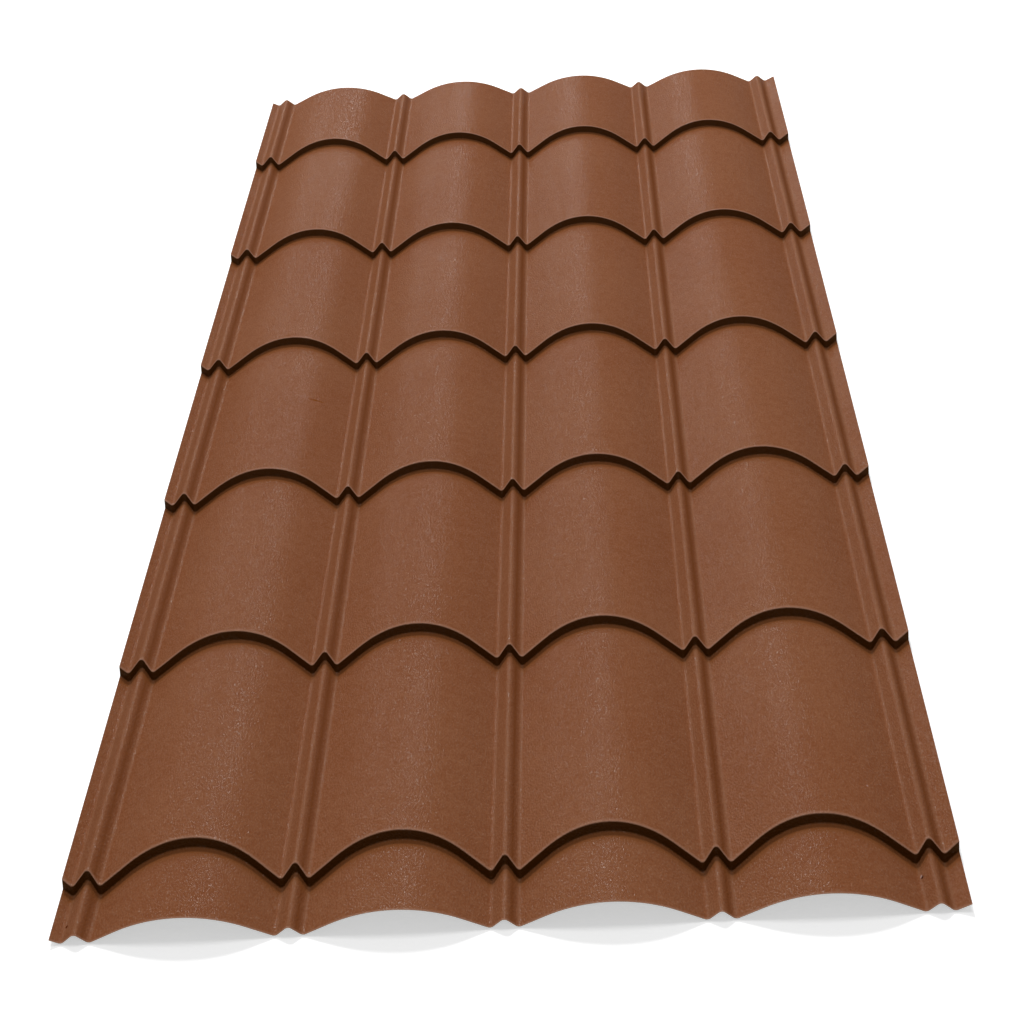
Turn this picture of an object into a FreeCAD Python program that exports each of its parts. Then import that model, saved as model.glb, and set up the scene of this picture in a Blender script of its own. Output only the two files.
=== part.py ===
import FreeCAD, Part
import math
import os

# Tile-effect metal roofing sheet, one piece of coated steel, in millimetres.
# X runs across the sheet, +Y up the roof slope and +Z out of the painted face. The origin is
# the centre of the sheet's footprint, on the level surface that the sheet lies on.
# The sheet is roll-formed into four broad barrels with a narrow rib between them, and a rib
# beyond each outer barrel for the side lap. A press then steps it down once for every row of
# tiles. Each step line swings back up the slope over the barrels and ribs, as the lower ends
# of real barrel tiles do, while both ends of the sheet are cut straight.

# Sheet metal
THICKNESS = 0.5

# Section across the sheet, measured on the painted face
BARREL_COUNT = 4
BARREL_PITCH = 200.0
BARREL_HEIGHT = 24.5
BARREL_FLANK_LENGTH = 25.0
RIB_HEIGHT = 8.3
RIB_VALLEY_SPACING = 27.4
RIB_TOP_RADIUS = 5.0
VALLEY_RADIUS = 5.0
LEFT_EDGE_WIDTH = 10.0
RIGHT_EDGE_WIDTH = 14.5

# Rows of tiles along the sheet, counted up from the eaves
STEP_COUNT = 6
STEP_PITCH = 350.0
STEP_HEIGHT = 10.0
STEP_LEAN = 3.0
STEP_SWING_PER_HEIGHT = 1.46
BELOW_FIRST_STEP = 71.0
ABOVE_LAST_STEP = 279.0


def bend(centre, radius, start, end):
    """Poles of a bend whose outward normal turns from start to end.

    The radius is above zero for a crest and below zero for a valley.
    """
    handle = radius * math.tan((end - start) / 4) * 4 / 3
    poles = []
    for angle, lead in ((start, 0.0), (start, handle), (end, -handle), (end, 0.0)):
        across, up = math.sin(angle), math.cos(angle)
        x = centre[0] + radius * across + lead * up
        z = centre[1] + radius * up - lead * across
        poles.append((x, z))
    return poles


def rib_flank_angle():
    """Slope of the straight flank that touches a rib's top bend and its valley bend."""
    radii = RIB_TOP_RADIUS + VALLEY_RADIUS
    run = RIB_VALLEY_SPACING / 2
    rise = radii - RIB_HEIGHT
    return math.asin(radii / math.hypot(run, rise)) - math.atan2(rise, run)


def half_barrel():
    """Distance across from the bottom of a valley to the crest of the barrel beside it."""
    return (BARREL_PITCH - RIB_VALLEY_SPACING) / 2


def barrel_radii():
    """Radii of a barrel's crest and its valley bend, added up.

    With them, a straight flank of the stated length touches both bends.
    """
    squares = half_barrel() ** 2 + BARREL_HEIGHT ** 2 - BARREL_FLANK_LENGTH ** 2
    return squares / (2 * BARREL_HEIGHT)


def barrel_flank_angle():
    """Slope of the straight flank at each foot of a barrel."""
    radii = barrel_radii()
    towards_crest = math.atan2(half_barrel(), radii - BARREL_HEIGHT)
    return towards_crest - math.atan2(BARREL_FLANK_LENGTH, radii)


def slit_edge(bend_end, width, side):
    """Where the sheet's side edge lies on the flank beyond an outer valley.

    The width is measured from the bottom of the valley. The side is -1 or 1.
    """
    slope = barrel_flank_angle()
    length = (width - VALLEY_RADIUS * math.sin(slope)) / math.cos(slope)
    return (bend_end[0] + side * length * math.cos(slope), bend_end[1] + length * math.sin(slope))


def section(depth):
    """Spans of the section across the sheet, at a depth below its painted face.

    Straight flanks join the bends and run out to the two side edges.
    """
    valley_offset = RIB_VALLEY_SPACING / 2
    flank = rib_flank_angle()
    slope = barrel_flank_angle()
    crest_radius = barrel_radii() - VALLEY_RADIUS
    crest = crest_radius - depth
    rib_top = RIB_TOP_RADIUS - depth
    valley = -VALLEY_RADIUS - depth
    first_rib_x = (LEFT_EDGE_WIDTH - RIGHT_EDGE_WIDTH - BARREL_COUNT * BARREL_PITCH) / 2

    bends = []
    for rib in range(BARREL_COUNT + 1):
        x = first_rib_x + rib * BARREL_PITCH
        bends += [
            bend((x - valley_offset, VALLEY_RADIUS), valley, slope, -flank),
            bend((x, RIB_HEIGHT - RIB_TOP_RADIUS), rib_top, -flank, flank),
            bend((x + valley_offset, VALLEY_RADIUS), valley, flank, -slope),
        ]
        if rib < BARREL_COUNT:
            crest_centre = (x + BARREL_PITCH / 2, BARREL_HEIGHT - crest_radius)
            bends.append(bend(crest_centre, crest, -slope, slope))

    left_edge = slit_edge(bends[0][0], LEFT_EDGE_WIDTH, -1)
    right_edge = slit_edge(bends[-1][-1], RIGHT_EDGE_WIDTH, 1)
    spans = [[left_edge, bends[0][0]]]
    for here, following in zip(bends, [*bends[1:], [right_edge]]):
        spans += [here, [here[-1], following[0]]]
    return spans


def row_slope():
    """Fall of a row of tiles for each millimetre from its nose to the foot of the next step."""
    return STEP_HEIGHT / (STEP_PITCH - STEP_LEAN)


def back_setback():
    """How far up the slope the back of each step lies from its front.

    It leaves a wall of one thickness on the steepest flanks of the section.
    """
    flank = rib_flank_angle()
    swing = STEP_SWING_PER_HEIGHT * STEP_HEIGHT - STEP_LEAN
    riser = math.hypot(STEP_HEIGHT, STEP_LEAN)
    across_wall = math.hypot(swing * math.sin(flank), riser * math.cos(flank))
    along_row = (STEP_HEIGHT + STEP_LEAN * row_slope()) * math.cos(flank)
    return THICKNESS * (across_wall + swing) / along_row


def sheet_length():
    return BELOW_FIRST_STEP + (STEP_COUNT - 1) * STEP_PITCH + ABOVE_LAST_STEP


def profile(setback):
    """Foot and nose of each step along the sheet, at the level of the section's valleys.

    The setback moves them along the rows, which stay in line.
    """
    lift = THICKNESS + (back_setback() - setback) * row_slope()
    points = []
    for step in range(STEP_COUNT):
        nose_y = BELOW_FIRST_STEP - sheet_length() / 2 + step * STEP_PITCH + setback
        points.append((nose_y - STEP_LEAN, lift))
        points.append((nose_y, lift + STEP_HEIGHT))
    return points


def step_row(spans, point):
    """The section swept back along a step line."""
    y, base = point
    return [
        [FreeCAD.Vector(x, y + STEP_SWING_PER_HEIGHT * z, base + z) for x, z in span]
        for span in spans
    ]


def cut_row(spans, point, end_y):
    """The section where its row of tiles meets the straight cut at an end of the sheet."""
    row = []
    for span in spans:
        poles = []
        for x, z in span:
            distance = end_y - point[0] - STEP_SWING_PER_HEIGHT * z
            poles.append(FreeCAD.Vector(x, end_y, point[1] + z - row_slope() * distance))
        row.append(poles)
    return row


def rows_along(depth, setback):
    """All rows of one face of the sheet metal, from the eaves to the top."""
    spans = section(depth)
    points = profile(setback)
    half_length = sheet_length() / 2
    return [
        cut_row(spans, points[0], -half_length),
        *(step_row(spans, point) for point in points),
        cut_row(spans, points[-1], half_length),
    ]


def edge(poles):
    curve = Part.BezierCurve()
    curve.setPoles(poles)
    return curve.toShape()


def outline(front, back):
    """The closed outline of the sheet metal through one row of its front and of its back."""
    back_again = [span[::-1] for span in reversed(back)]
    closed = [
        *front,
        [front[-1][-1], back_again[0][0]],
        *back_again,
        [back_again[-1][-1], front[0][0]],
    ]
    return Part.Wire([edge(span) for span in closed])


def roofing_sheet():
    fronts = rows_along(0.0, 0.0)
    backs = rows_along(THICKNESS, back_setback())
    outlines = [outline(front, back) for front, back in zip(fronts, backs)]
    return Part.makeLoft(outlines, True, True)


os.makedirs("parts", exist_ok=True)
roofing_sheet().exportStep("parts/roofing_sheet.step")
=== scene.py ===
import bpy
import math
from mathutils import Euler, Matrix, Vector


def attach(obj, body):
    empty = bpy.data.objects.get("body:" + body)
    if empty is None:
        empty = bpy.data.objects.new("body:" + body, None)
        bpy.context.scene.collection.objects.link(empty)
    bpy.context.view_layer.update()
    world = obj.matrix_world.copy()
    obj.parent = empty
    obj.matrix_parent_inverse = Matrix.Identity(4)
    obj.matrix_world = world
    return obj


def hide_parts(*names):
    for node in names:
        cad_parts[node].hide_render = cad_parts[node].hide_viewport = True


# The looks of the tile-effect roofing sheet, in metres, in the frame of the solid model.
# The sheet's mesh is made again with the rounded noses and feet of its steps, and it is
# coated with a matte, finely textured brown.

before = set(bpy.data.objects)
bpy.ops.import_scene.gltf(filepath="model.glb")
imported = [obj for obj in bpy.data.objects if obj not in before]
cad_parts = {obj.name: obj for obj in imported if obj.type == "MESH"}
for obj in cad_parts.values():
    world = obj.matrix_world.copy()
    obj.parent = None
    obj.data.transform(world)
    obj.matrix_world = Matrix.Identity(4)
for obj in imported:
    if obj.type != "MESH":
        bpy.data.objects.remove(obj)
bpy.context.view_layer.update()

# Sheet metal, as in the solid model
THICKNESS = 0.0005
BARREL_COUNT = 4
BARREL_PITCH = 0.2
BARREL_HEIGHT = 0.0245
BARREL_FLANK_LENGTH = 0.025
RIB_HEIGHT = 0.0083
RIB_VALLEY_SPACING = 0.0274
RIB_TOP_RADIUS = 0.005
VALLEY_RADIUS = 0.005
LEFT_EDGE_WIDTH = 0.010
RIGHT_EDGE_WIDTH = 0.0145
STEP_COUNT = 6
STEP_PITCH = 0.35
STEP_HEIGHT = 0.01
STEP_LEAN = 0.003
STEP_SWING_PER_HEIGHT = 1.46
BELOW_FIRST_STEP = 0.071
ABOVE_LAST_STEP = 0.279

# Rounded folds of the steps, on the painted face
NOSE_RADIUS = 0.0014
FOOT_RADIUS = 0.0018

# How finely the mesh follows the bends, and the turn from which its edges are sharp
FOLD_PIECES = 6
BARREL_PIECES = 20
TIGHT_BEND_PIECES = 8
FLANK_PIECE_LENGTH = 0.005
SHARP_ANGLE_DEGREES = 40.0

# Where the rows of the mesh lie on a row of tiles, measured from its nose and from its end
ROWS_FROM_NOSE = (0.002, 0.005, 0.012, 0.03)
ROWS_FROM_END = (0.06, 0.03, 0.018, 0.012, 0.008, 0.005, 0.0025)

# Materials of the sheet, in their order on the mesh: its face, its underside and its cut edge
FACE_FINISH = 0
BACK_FINISH = 1
EDGE_FINISH = 2

# Camera, fitted to the photograph
CAMERA_PLACE = (0.105, -2.6557, 1.4281)
CAMERA_TURN_DEGREES = (58.598, 3.345, 0.610)
FOCAL_LENGTH_MM = 80.74
SENSOR_WIDTH_MM = 36.0

# Reach of the painted shade below each step, and the width over which it ends
SHADE_REACH = 0.015
SHADE_SOFTNESS = 0.006

# Reach of the painted highlight on a nose above its fold, and the width of the painted highlight
# along the cut at the eaves
NOSE_HIGHLIGHT_REACH = 0.005
RIM_HIGHLIGHT_WIDTH = 0.003

# Where the painted sheen of the crease peaks on the bend at the left of a rib, as a share of the
# bend
LEFT_CREASE_PEAK = 0.75

# Colours of the coat: dark and light ends of its grain, then its painted light: painted shade in
# the band below a step and on a riser, a painted highlight on a nose, painted sheen on the creases
# beside and on top of the ribs, painted shade on the rib flanks that face +X, and painted glints
# of the pale specks
COAT_DARK = (0.205, 0.0654, 0.0244)
COAT_LIGHT = (0.250, 0.0992, 0.0452)
COAT_SHADE = (0.214, 0.072, 0.021)
COAT_RISER_SHADE = (0.070, 0.023, 0.003)
COAT_NOSE_HIGHLIGHT = (0.310, 0.155, 0.095)
COAT_CREASE_SHEEN = (0.255, 0.130, 0.076)
COAT_LEE_SHADE = (0.182, 0.057, 0.018)
COAT_SPECK_GLINT = (0.42, 0.27, 0.18)

# How much of its painted shade the band below a step takes, and how much of its painted sheen a
# crease takes
SHADE_SHARE = 0.7
CREASE_SHEEN_SHARE = 0.3

# Sizes of the coat's patterns. The grain is longer along the sheet than across.
GRAIN_SIZE = 0.0017
GRAIN_STRETCH = 1.8
SPECK_SIZE = 0.0015
MOTTLE_SIZE = 0.010
CLOUD_SIZE = 0.25

# How much finer detail the noise of each pattern has
GRAIN_DETAIL = 0.5
SPECK_DETAIL = 0.0
MOTTLE_DETAIL = 3.0
CLOUD_DETAIL = 1.0

# Values of the noise between which a pattern goes from none to full. A speck glints in the gloss
# from a lower value than the one from which its colour takes the painted glint.
NOISE_LIMITS = (0.3, 0.7)
CLOUD_LIMITS = (0.35, 0.65)
SPECK_LIMITS = (0.62, 0.82)
GLINT_LIMITS = (0.5, 0.8)

# How much each pattern turns the coat from dark to light
GRAIN_SHARE = 0.5
MOTTLE_SHARE = 0.3
CLOUD_SHARE = 0.2

# How much of its painted glint colour a speck takes
SPECK_GLINT_SHARE = 0.12

# Relief of the grain, and the roughness of the coat from its hollows to its ridges
GRAIN_RELIEF = 0.0005
COAT_ROUGHNESS = (0.42, 0.6)

# Gloss over the coat: its roughness, and its weight between the specks and on them
GLOSS_ROUGHNESS = 0.2
COAT_GLOSS = 0.042
SPECK_GLOSS = 0.18

# Small marks in the coat as (x, y, half length, half width, turn in degrees, colour)
MARKS = (
    (-0.2585, -0.0523, 0.0104, 0.0022, -4.2, (0.19, 0.050, 0.008)),
    (-0.4135, -1.0278, 0.0022, 0.0012, 90.0, (0.09, 0.018, 0.004)),
    (0.3872, -1.0032, 0.0020, 0.0010, 70.0, (0.05, 0.010, 0.003)),
    (0.3864, -1.0011, 0.0020, 0.0009, 70.0, (0.36, 0.220, 0.180)),
    (0.3493, -0.8907, 0.0016, 0.0010, 90.0, (0.33, 0.180, 0.140)),
)

# Where a small mark starts and ends to fade, as shares of its half length and half width
MARK_FADE = (0.7, 1.2)

# Backing coat on the underside, with the scale of its clouds in one metre
BACKING_DARK = (0.36, 0.36, 0.34)
BACKING_LIGHT = (0.46, 0.46, 0.44)
BACKING_SCALE = 40.0
BACKING_DETAIL = 4.0
BACKING_ROUGHNESS = (0.45, 0.6)

# Bare sheared edge, with the scale of its streaks in one metre
EDGE_DARK = (0.30, 0.17, 0.10)
EDGE_LIGHT = (0.42, 0.30, 0.22)
EDGE_SCALE = 900.0
EDGE_DETAIL = 3.0
EDGE_METALLIC = 0.4
EDGE_ROUGHNESS = (0.4, 0.6)

# Colour of the floor's glow and of the world
WHITE = (1.0, 1.0, 1.0, 1.0)

# Floor, and the glow that keeps it pale where it is seen or mirrored
FLOOR_REACH = 12.0
FLOOR_COLOUR = (0.85, 0.85, 0.85, 1.0)
FLOOR_ROUGHNESS = 0.9
FLOOR_GLOW = 0.5

# Light: the world's fill, the sun, and the lamps as (name, place, width, depth, power, lean in
# degrees)
WORLD_LIGHT = 0.2
SUN_PLACE = (-1.3, 5.6, 5.6)
SUN_STRENGTH = 1.35
SUN_WIDTH_DEGREES = 7.0
LAMPS = (
    ("top", (0.3, 0.0, 6.1), 2.0, 2.0, 90.0, 0.0),
    ("strip_low", (-0.27, 5.0, 1.4), 0.38, 1.3, 17.8, 0.0),
    ("strip", (-0.27, 5.0, 2.7), 0.38, 1.3, 10.7, 0.0),
    ("strip_top", (-0.3, 5.5, 4.0), 0.42, 1.2, 38.0, 0.0),
    ("strip_high", (-0.32, 5.5, 5.2), 0.38, 0.9, 62.0, 0.0),
    ("window_low", (-1.25, 4.9, 1.3), 1.0, 1.0, 17.2, -39.0),
    ("window_top", (-2.54, 5.2, 2.9), 1.0, 1.0, 34.0, -39.0),
)


def sheet_length():
    return BELOW_FIRST_STEP + (STEP_COUNT - 1) * STEP_PITCH + ABOVE_LAST_STEP


def bend(centre, radius, start, end, pieces):
    """Points round a bend whose outward normal turns from start to end."""
    points = []
    for i in range(pieces + 1):
        angle = start + (end - start) * i / pieces
        points.append((centre[0] + radius * math.sin(angle), centre[1] + radius * math.cos(angle)))
    return points


def tight_bend(centre, radius, start, end, peak=0.5):
    """Points round a tight bend as (x, z, crease), with the crease's peak at a share of it."""
    points = []
    for i, (x, z) in enumerate(bend(centre, radius, start, end, TIGHT_BEND_PIECES)):
        crease = max(0.0, 1 - 2 * abs(i / TIGHT_BEND_PIECES - peak))
        points.append((x, z, crease))
    return points


def rib_flank_angle():
    """Slope of the straight flank that touches a rib's top bend and its valley bend."""
    radii = RIB_TOP_RADIUS + VALLEY_RADIUS
    run = RIB_VALLEY_SPACING / 2
    rise = radii - RIB_HEIGHT
    return math.asin(radii / math.hypot(run, rise)) - math.atan2(rise, run)


def half_barrel():
    """Distance across from the bottom of a valley to the crest of the barrel beside it."""
    return (BARREL_PITCH - RIB_VALLEY_SPACING) / 2


def barrel_radii():
    """Radii of a barrel's crest and its valley bend, added up."""
    squares = half_barrel() ** 2 + BARREL_HEIGHT ** 2 - BARREL_FLANK_LENGTH ** 2
    return squares / (2 * BARREL_HEIGHT)


def barrel_flank_angle():
    """Slope of the straight flank at each foot of a barrel."""
    radii = barrel_radii()
    towards_crest = math.atan2(half_barrel(), radii - BARREL_HEIGHT)
    return towards_crest - math.atan2(BARREL_FLANK_LENGTH, radii)


def slit_edge(bend_end, width, side):
    """Where the sheet's side edge lies on the flank beyond an outer valley."""
    slope = barrel_flank_angle()
    length = (width - VALLEY_RADIUS * math.sin(slope)) / math.cos(slope)
    x = bend_end[0] + side * length * math.cos(slope)
    return (x, bend_end[1] + length * math.sin(slope), 0.0)


def straight(start, end):
    """Points along a straight part of the section, without its start."""
    pieces = max(1, round(math.dist(start[:2], end[:2]) / FLANK_PIECE_LENGTH))
    return [
        tuple(a + (b - a) * i / pieces for a, b in zip(start, end))
        for i in range(1, pieces + 1)
    ]


def section(depth):
    """Points of the section across the sheet as (x, z, crease), at a depth below its face.

    The crease is above zero in the creases beside and on top of the ribs, where the coat takes a
    painted sheen, and below zero on the rib flanks that face +X, where it takes painted shade.
    """
    valley_offset = RIB_VALLEY_SPACING / 2
    flank = rib_flank_angle()
    slope = barrel_flank_angle()
    crest_radius = barrel_radii() - VALLEY_RADIUS
    crest = crest_radius - depth
    rib_top = RIB_TOP_RADIUS - depth
    valley = -VALLEY_RADIUS - depth
    first_rib_x = (LEFT_EDGE_WIDTH - RIGHT_EDGE_WIDTH - BARREL_COUNT * BARREL_PITCH) / 2

    bends = []
    for rib in range(BARREL_COUNT + 1):
        x = first_rib_x + rib * BARREL_PITCH
        left_centre = (x - valley_offset, VALLEY_RADIUS)
        left = tight_bend(left_centre, valley, slope, -flank, LEFT_CREASE_PEAK)
        top = tight_bend((x, RIB_HEIGHT - RIB_TOP_RADIUS), rib_top, -flank, flank)
        right = tight_bend((x + valley_offset, VALLEY_RADIUS), valley, flank, -slope)
        # The middle of a rib's flank that faces +X, marked for painted shade
        lee_shade = ((top[-1][0] + right[0][0]) / 2, (top[-1][1] + right[0][1]) / 2, -1.0)
        bends += [left, top, [lee_shade], right]
        if rib < BARREL_COUNT:
            crest_centre = (x + BARREL_PITCH / 2, BARREL_HEIGHT - crest_radius)
            barrel = bend(crest_centre, crest, -slope, slope, BARREL_PIECES)
            bends.append([(*point, 0.0) for point in barrel])

    points = [slit_edge(bends[0][0], LEFT_EDGE_WIDTH, -1)]
    for here in bends:
        points += straight(points[-1], here[0]) + here[1:]
    points += straight(points[-1], slit_edge(bends[-1][-1], RIGHT_EDGE_WIDTH, 1))
    return points


def row_slope():
    """Fall of a row of tiles for each metre from its nose to the foot of the next step."""
    return STEP_HEIGHT / (STEP_PITCH - STEP_LEAN)


def back_setback():
    """How far up the slope the back of each step lies from its front, as in the solid model."""
    flank = rib_flank_angle()
    swing = STEP_SWING_PER_HEIGHT * STEP_HEIGHT - STEP_LEAN
    riser = math.hypot(STEP_HEIGHT, STEP_LEAN)
    across_wall = math.hypot(swing * math.sin(flank), riser * math.cos(flank))
    along_row = (STEP_HEIGHT + STEP_LEAN * row_slope()) * math.cos(flank)
    return THICKNESS * (across_wall + swing) / along_row


def profile(setback, nose_radius, foot_radius):
    """Stations along the sheet as (y, z, riser, shade, nose), at the level of the valleys.

    The last three say how much of the point is on a riser, which is painted dark as shade,
    in the painted shade below it and in the painted highlight on the nose.
    """
    row_angle = math.atan(row_slope())
    riser_angle = -math.atan2(STEP_HEIGHT, STEP_LEAN)
    half_turn = (row_angle - riser_angle) / 2
    middle = (row_angle + riser_angle) / 2
    lift = THICKNESS + (back_setback() - setback) * row_slope()
    stations = []
    for step in range(STEP_COUNT):
        nose_y = BELOW_FIRST_STEP - sheet_length() / 2 + step * STEP_PITCH + setback
        foot_y = nose_y - STEP_LEAN
        for before in ROWS_FROM_END:
            # Painted shade below each step, full near the foot and fading past its reach
            shade = min(1.0, max(0.0, (SHADE_REACH - before) / SHADE_SOFTNESS))
            stations.append((foot_y - before, lift + before * row_slope(), 0.0, shade, 0.0))
        reach = foot_radius / math.cos(half_turn)
        centre = (foot_y + reach * math.sin(middle), lift + reach * math.cos(middle))
        for i, (y, z) in enumerate(bend(centre, -foot_radius, row_angle, riser_angle, FOLD_PIECES)):
            stations.append((y, z, i / FOLD_PIECES, 1.0, 0.0))
        reach = nose_radius / math.cos(half_turn)
        centre = (
            nose_y - reach * math.sin(middle),
            lift + STEP_HEIGHT - reach * math.cos(middle),
        )
        for i, (y, z) in enumerate(bend(centre, nose_radius, riser_angle, row_angle, FOLD_PIECES)):
            # Across the nose's fold the riser's painted shade gives way to the nose's painted
            # highlight
            lit = min(1.0, 2 * i / FOLD_PIECES)
            stations.append((y, z, 1 - lit, 1 - lit, lit))
        for after in ROWS_FROM_NOSE:
            nose = max(0.0, 1 - after / NOSE_HIGHLIGHT_REACH)
            z = lift + STEP_HEIGHT - after * row_slope()
            stations.append((nose_y + after, z, 0.0, 0.0, nose))
    return stations


def rows_of_points(depth, setback, nose_radius, foot_radius):
    """All rows of one face of the sheet metal, with the straight cuts at both ends.

    With them come the rows' marks as (riser, shade, nose), which carry the painted shade and
    highlights. The rim at the eaves takes the same painted highlight as a nose.
    """
    across = section(depth)
    stations = profile(setback, nose_radius, foot_radius)

    def cut(station, end_y):
        y, base = station[:2]
        return [
            (x, end_y, base + z - row_slope() * (end_y - y - STEP_SWING_PER_HEIGHT * z))
            for x, z, _ in across
        ]

    half_length = sheet_length() / 2
    rows = [cut(stations[0], -half_length), cut(stations[0], RIM_HIGHLIGHT_WIDTH - half_length)]
    rows += [
        [(x, station[0] + STEP_SWING_PER_HEIGHT * z, station[1] + z) for x, z, _ in across]
        for station in stations
    ]
    rows.append(cut(stations[-1], half_length))
    # The rim row at the eaves takes the painted highlight of a nose
    pale = (0.0, 0.0, 1.0)
    plain = (0.0, 0.0, 0.0)
    return rows, [pale, plain, *(station[2:] for station in stations), plain]


def make_sheet():
    """The whole sheet as one closed mesh, with masks of painted shade and highlights as attributes.
    """
    front, marks = rows_of_points(0.0, 0.0, NOSE_RADIUS, FOOT_RADIUS)
    back, _ = rows_of_points(
        THICKNESS, back_setback(), NOSE_RADIUS - THICKNESS, FOOT_RADIUS + THICKNESS,
    )
    count = len(front[0])
    rows = len(front)
    vertices = [point for row in front + back for point in row]
    behind = rows * count

    faces = []
    finish = []
    for r in range(rows - 1):
        for c in range(count - 1):
            a = r * count + c
            faces.append((a, a + 1, a + count + 1, a + count))
            finish.append(FACE_FINISH)
            b = a + behind
            faces.append((b, b + count, b + count + 1, b + 1))
            finish.append(BACK_FINISH)
    for r in range(rows - 1):
        for c, turn in ((0, 1), (count - 1, -1)):
            a = r * count + c
            rim = (a, a + count, a + count + behind, a + behind)
            faces.append(rim[::turn])
            finish.append(EDGE_FINISH)
    for c in range(count - 1):
        for r, turn in ((0, -1), (rows - 1, 1)):
            a = r * count + c
            rim = (a, a + 1, a + 1 + behind, a + behind)
            faces.append(rim[::-turn])
            finish.append(EDGE_FINISH)

    mesh = bpy.data.meshes.new("roofing_sheet_metal")
    mesh.from_pydata(vertices, [], faces)
    mesh.polygons.foreach_set("material_index", finish)
    for i, name in enumerate(("riser", "shade", "nose")):
        attribute = mesh.attributes.new(name, "FLOAT", "POINT")
        values = [mark[i] for mark in marks for _ in range(count)]
        attribute.data.foreach_set("value", values * 2)
    attribute = mesh.attributes.new("crease", "FLOAT", "POINT")
    attribute.data.foreach_set("value", [point[2] for point in section(0.0)] * rows * 2)
    mesh.validate()
    mesh.update()
    mesh.shade_smooth()
    mesh.set_sharp_from_angle(angle=math.radians(SHARP_ANGLE_DEGREES))
    sheet = bpy.data.objects.new("roofing_sheet_metal", mesh)
    bpy.context.scene.collection.objects.link(sheet)
    return sheet


class Nodes:
    """A short way to write a material's nodes."""

    def __init__(self, name):
        self.material = bpy.data.materials.new(name)
        self.material.use_nodes = True
        self.tree = self.material.node_tree
        self.shader = self.tree.nodes["Principled BSDF"]

    def add(self, kind, settings=None, **inputs):
        node = self.tree.nodes.new(kind)
        for key, value in (settings or {}).items():
            setattr(node, key, value)
        for key, value in inputs.items():
            self.feed(node.inputs[key.replace("_", " ")], value)
        return node

    def feed(self, socket, value):
        if isinstance(value, bpy.types.NodeSocket):
            self.tree.links.new(value, socket)
        else:
            socket.default_value = value

    def place(self):
        return self.add("ShaderNodeTexCoord").outputs["Object"]

    def noise(self, scale, detail, vector=None):
        node = self.add("ShaderNodeTexNoise", Scale=scale, Detail=detail)
        self.feed(node.inputs["Vector"], vector or self.place())
        return node.outputs["Fac"]

    def mark(self, name):
        node = self.add("ShaderNodeAttribute", {"attribute_name": name})
        return node.outputs["Fac"]

    def spread(self, value, low, high, to_low=0.0, to_high=1.0):
        node = self.add("ShaderNodeMapRange", {"interpolation_type": "SMOOTHSTEP"})
        for i, given in enumerate((value, low, high, to_low, to_high)):
            self.feed(node.inputs[i], given)
        return node.outputs["Result"]

    def oval(self, x, y, half_length, half_width, turn):
        """One inside an oval on the sheet, seen from above, and zero outside it."""
        node = self.add("ShaderNodeMapping", {"vector_type": "TEXTURE"})
        self.feed(node.inputs["Vector"], self.place())
        node.inputs["Location"].default_value = (x, y, 0.0)
        node.inputs["Rotation"].default_value = (0.0, 0.0, math.radians(turn))
        node.inputs["Scale"].default_value = (half_length, half_width, 1.0)
        length = self.add("ShaderNodeVectorMath", {"operation": "LENGTH"})
        self.feed(length.inputs[0], node.outputs["Vector"])
        return self.spread(length.outputs["Value"], *MARK_FADE, 1.0, 0.0)

    def math(self, operation, a, b):
        node = self.add("ShaderNodeMath", {"operation": operation})
        self.feed(node.inputs[0], a)
        self.feed(node.inputs[1], b)
        return node.outputs["Value"]

    def blend(self, factor, a, b):
        """Mixes two colours. Their sockets share names with others, so they go by number."""
        node = self.add("ShaderNodeMix", {"data_type": "RGBA"})
        self.feed(node.inputs[0], factor)
        for socket, value in ((node.inputs[6], a), (node.inputs[7], b)):
            self.feed(socket, (*value, 1.0) if isinstance(value, tuple) else value)
        return node.outputs[2]


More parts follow.
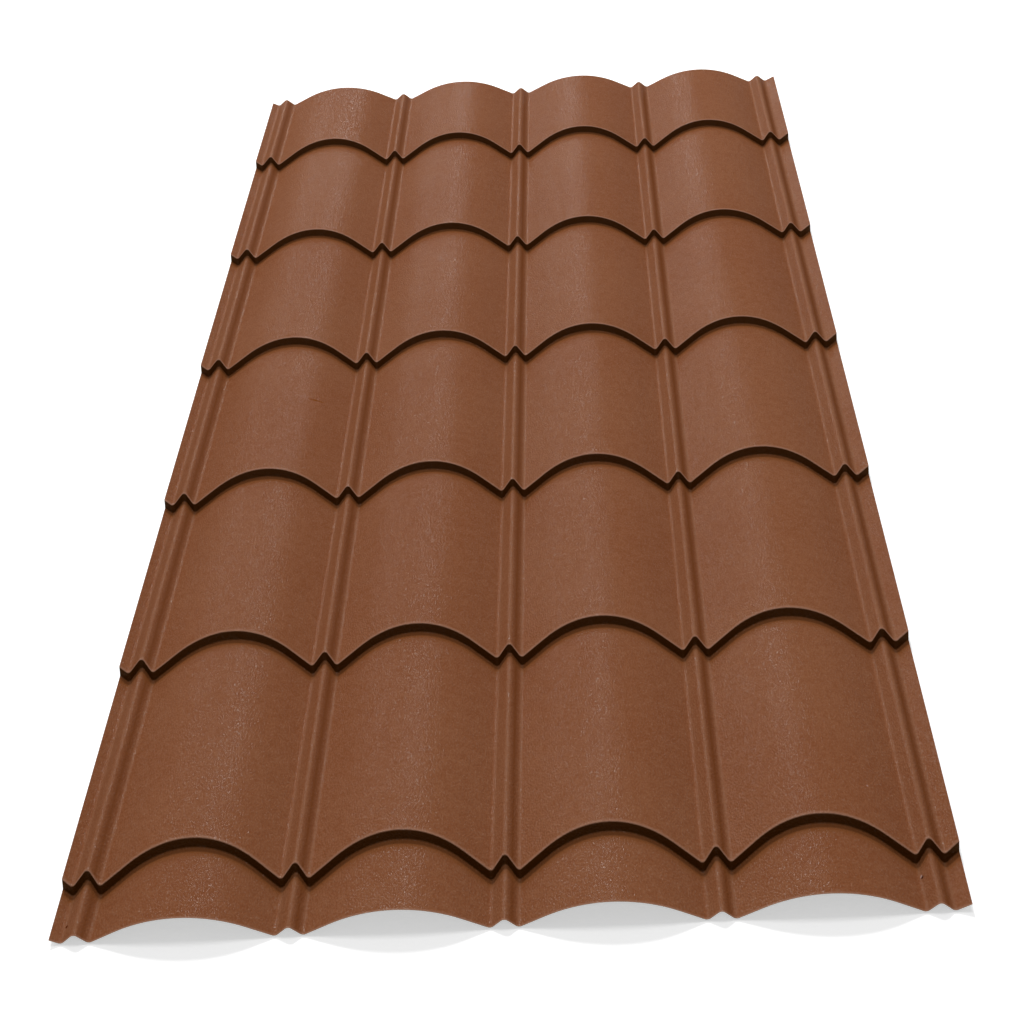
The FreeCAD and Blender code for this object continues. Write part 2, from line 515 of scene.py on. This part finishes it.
def coat():
    """The brown coat: matte, with a fine wrinkled grain that glints.

    Its colour also holds painted shade on the risers, below the steps and on the rib flanks
    that face +X, and painted highlights on the noses, the rim at the eaves, the creases and
    the specks.
    """
    n = Nodes("brown_wrinkle_coat")
    along = n.add("ShaderNodeVectorMath", {"operation": "MULTIPLY"})
    n.feed(along.inputs[0], n.place())
    along.inputs[1].default_value = (1.0, 1 / GRAIN_STRETCH, 1.0)
    grain = n.noise(1 / GRAIN_SIZE, GRAIN_DETAIL, along.outputs["Vector"])
    speck = n.noise(1 / SPECK_SIZE, SPECK_DETAIL, along.outputs["Vector"])
    mottle = n.noise(1 / MOTTLE_SIZE, MOTTLE_DETAIL)
    cloud = n.noise(1 / CLOUD_SIZE, CLOUD_DETAIL)
    tone = n.spread(grain, *NOISE_LIMITS, 0.0, GRAIN_SHARE)
    tone = n.math("ADD", tone, n.spread(mottle, *NOISE_LIMITS, 0.0, MOTTLE_SHARE))
    tone = n.math("ADD", tone, n.spread(cloud, *CLOUD_LIMITS, 0.0, CLOUD_SHARE))
    crease = n.mark("crease")
    lee_shade = n.math("MULTIPLY", crease, -1.0)
    crease_sheen = n.math("MULTIPLY", n.math("MAXIMUM", crease, 0.0), CREASE_SHEEN_SHARE)

    colour = n.blend(tone, COAT_DARK, COAT_LIGHT)
    # Painted glints on the pale specks
    colour = n.blend(n.spread(speck, *SPECK_LIMITS, 0.0, SPECK_GLINT_SHARE), colour, COAT_SPECK_GLINT)
    # Painted shade on the rib flanks that face +X
    colour = n.blend(n.math("MAXIMUM", lee_shade, 0.0), colour, COAT_LEE_SHADE)
    # Painted shade in the band below each step
    colour = n.blend(n.math("MULTIPLY", n.mark("shade"), SHADE_SHARE), colour, COAT_SHADE)
    # Painted sheen along the creases beside and on top of the ribs
    colour = n.blend(crease_sheen, colour, COAT_CREASE_SHEEN)
    # Painted shade on the risers
    colour = n.blend(n.mark("riser"), colour, COAT_RISER_SHADE)
    # Painted highlight on the noses and on the rim at the eaves
    colour = n.blend(n.mark("nose"), colour, COAT_NOSE_HIGHLIGHT)
    for x, y, half_length, half_width, turn, mark_colour in MARKS:
        colour = n.blend(n.oval(x, y, half_length, half_width, turn), colour, mark_colour)
    n.feed(n.shader.inputs["Base Color"], colour)

    n.shader.inputs["Specular IOR Level"].default_value = 0.0
    n.feed(n.shader.inputs["Roughness"], n.spread(grain, *NOISE_LIMITS, *COAT_ROUGHNESS))
    n.feed(n.shader.inputs["Coat Weight"], n.spread(speck, *GLINT_LIMITS, COAT_GLOSS, SPECK_GLOSS))
    n.shader.inputs["Coat Roughness"].default_value = GLOSS_ROUGHNESS
    bump = n.add("ShaderNodeBump", Height=grain, Strength=1.0, Distance=GRAIN_RELIEF)
    n.feed(n.shader.inputs["Normal"], bump.outputs["Normal"])
    n.feed(n.shader.inputs["Coat Normal"], bump.outputs["Normal"])
    return n.material


def backing():
    """The pale grey backing coat on the underside."""
    n = Nodes("grey_backing_coat")
    cloud = n.noise(BACKING_SCALE, BACKING_DETAIL)
    n.feed(n.shader.inputs["Base Color"], n.blend(cloud, BACKING_DARK, BACKING_LIGHT))
    n.feed(n.shader.inputs["Roughness"], n.spread(cloud, *NOISE_LIMITS, *BACKING_ROUGHNESS))
    return n.material


def cut_steel():
    """The bare sheared edge round the sheet."""
    n = Nodes("sheared_edge")
    streak = n.noise(EDGE_SCALE, EDGE_DETAIL)
    n.feed(n.shader.inputs["Base Color"], n.blend(streak, EDGE_DARK, EDGE_LIGHT))
    n.shader.inputs["Metallic"].default_value = EDGE_METALLIC
    n.feed(n.shader.inputs["Roughness"], n.spread(streak, *NOISE_LIMITS, *EDGE_ROUGHNESS))
    return n.material


def make_floor():
    """A plain white floor that keeps the sheet's shadow."""
    mesh = bpy.data.meshes.new("floor")
    sides = ((-1, -1), (1, -1), (1, 1), (-1, 1))
    corners = [(x * FLOOR_REACH, y * FLOOR_REACH, 0) for x, y in sides]
    mesh.from_pydata(corners, [], [(0, 1, 2, 3)])
    floor = bpy.data.objects.new("floor", mesh)
    bpy.context.scene.collection.objects.link(floor)
    n = Nodes("white_floor")
    n.shader.inputs["Base Color"].default_value = FLOOR_COLOUR
    n.shader.inputs["Roughness"].default_value = FLOOR_ROUGHNESS
    n.shader.inputs["Specular IOR Level"].default_value = 0.0
    path = n.add("ShaderNodeLightPath").outputs
    seen = n.math("MAXIMUM", path["Is Camera Ray"], path["Is Glossy Ray"])
    seen = n.math("MAXIMUM", seen, path["Is Transmission Ray"])
    n.shader.inputs["Emission Color"].default_value = WHITE
    n.feed(n.shader.inputs["Emission Strength"], n.math("MULTIPLY", seen, FLOOR_GLOW))
    mesh.materials.append(n.material)


def light_world():
    """White where it is seen or mirrored, and dim where it lights."""
    world = bpy.data.worlds.new("studio")
    world.use_nodes = True
    bpy.context.scene.world = world
    tree = world.node_tree
    path = tree.nodes.new("ShaderNodeLightPath")
    seen = path.outputs["Is Camera Ray"]
    for name in ("Is Glossy Ray", "Is Transmission Ray"):
        either = tree.nodes.new("ShaderNodeMath")
        either.operation = "MAXIMUM"
        tree.links.new(seen, either.inputs[0])
        tree.links.new(path.outputs[name], either.inputs[1])
        seen = either.outputs[0]
    strength = tree.nodes.new("ShaderNodeMapRange")
    tree.links.new(seen, strength.inputs["Value"])
    strength.inputs["To Min"].default_value = WORLD_LIGHT
    strength.inputs["To Max"].default_value = 1.0
    background = tree.nodes["Background"]
    background.inputs["Color"].default_value = WHITE
    tree.links.new(strength.outputs["Result"], background.inputs["Strength"])


def aim(holder, place, lean):
    """Puts a lamp at a place, facing the middle of the sheet, and leans it in its own plane."""
    facing = (-Vector(place)).to_track_quat("-Z", "Y")
    turn = Euler((0, 0, math.radians(lean))).to_quaternion()
    holder.location = place
    holder.rotation_euler = (facing @ turn).to_euler()
    bpy.context.scene.collection.objects.link(holder)


def add_lamp(name, place, width, depth, power, lean):
    """A soft rectangular lamp."""
    lamp = bpy.data.lights.new(name, "AREA")
    lamp.shape = "RECTANGLE"
    lamp.size = width
    lamp.size_y = depth
    lamp.energy = power
    aim(bpy.data.objects.new(name, lamp), place, lean)


def add_sun():
    """The light from behind that draws the short shadow below each step."""
    sun = bpy.data.lights.new("sun", "SUN")
    sun.energy = SUN_STRENGTH
    sun.angle = math.radians(SUN_WIDTH_DEGREES)
    holder = bpy.data.objects.new("sun", sun)
    holder.visible_glossy = False
    aim(holder, SUN_PLACE, 0.0)


def add_camera():
    """The camera, from the place where the photograph was taken."""
    camera = bpy.data.cameras.new("camera")
    camera.lens = FOCAL_LENGTH_MM
    camera.sensor_width = SENSOR_WIDTH_MM
    camera.sensor_fit = "HORIZONTAL"
    holder = bpy.data.objects.new("camera", camera)
    holder.location = CAMERA_PLACE
    holder.rotation_euler = Euler([math.radians(a) for a in CAMERA_TURN_DEGREES])
    bpy.context.scene.collection.objects.link(holder)
    bpy.context.scene.camera = holder


sheet = make_sheet()
for material in (coat(), backing(), cut_steel()):
    sheet.data.materials.append(material)
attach(sheet, "root")
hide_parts("roofing_sheet")

make_floor()
light_world()
add_sun()
for lamp in LAMPS:
    add_lamp(*lamp)
add_camera()
bpy.context.scene.view_settings.view_transform = "Standard"
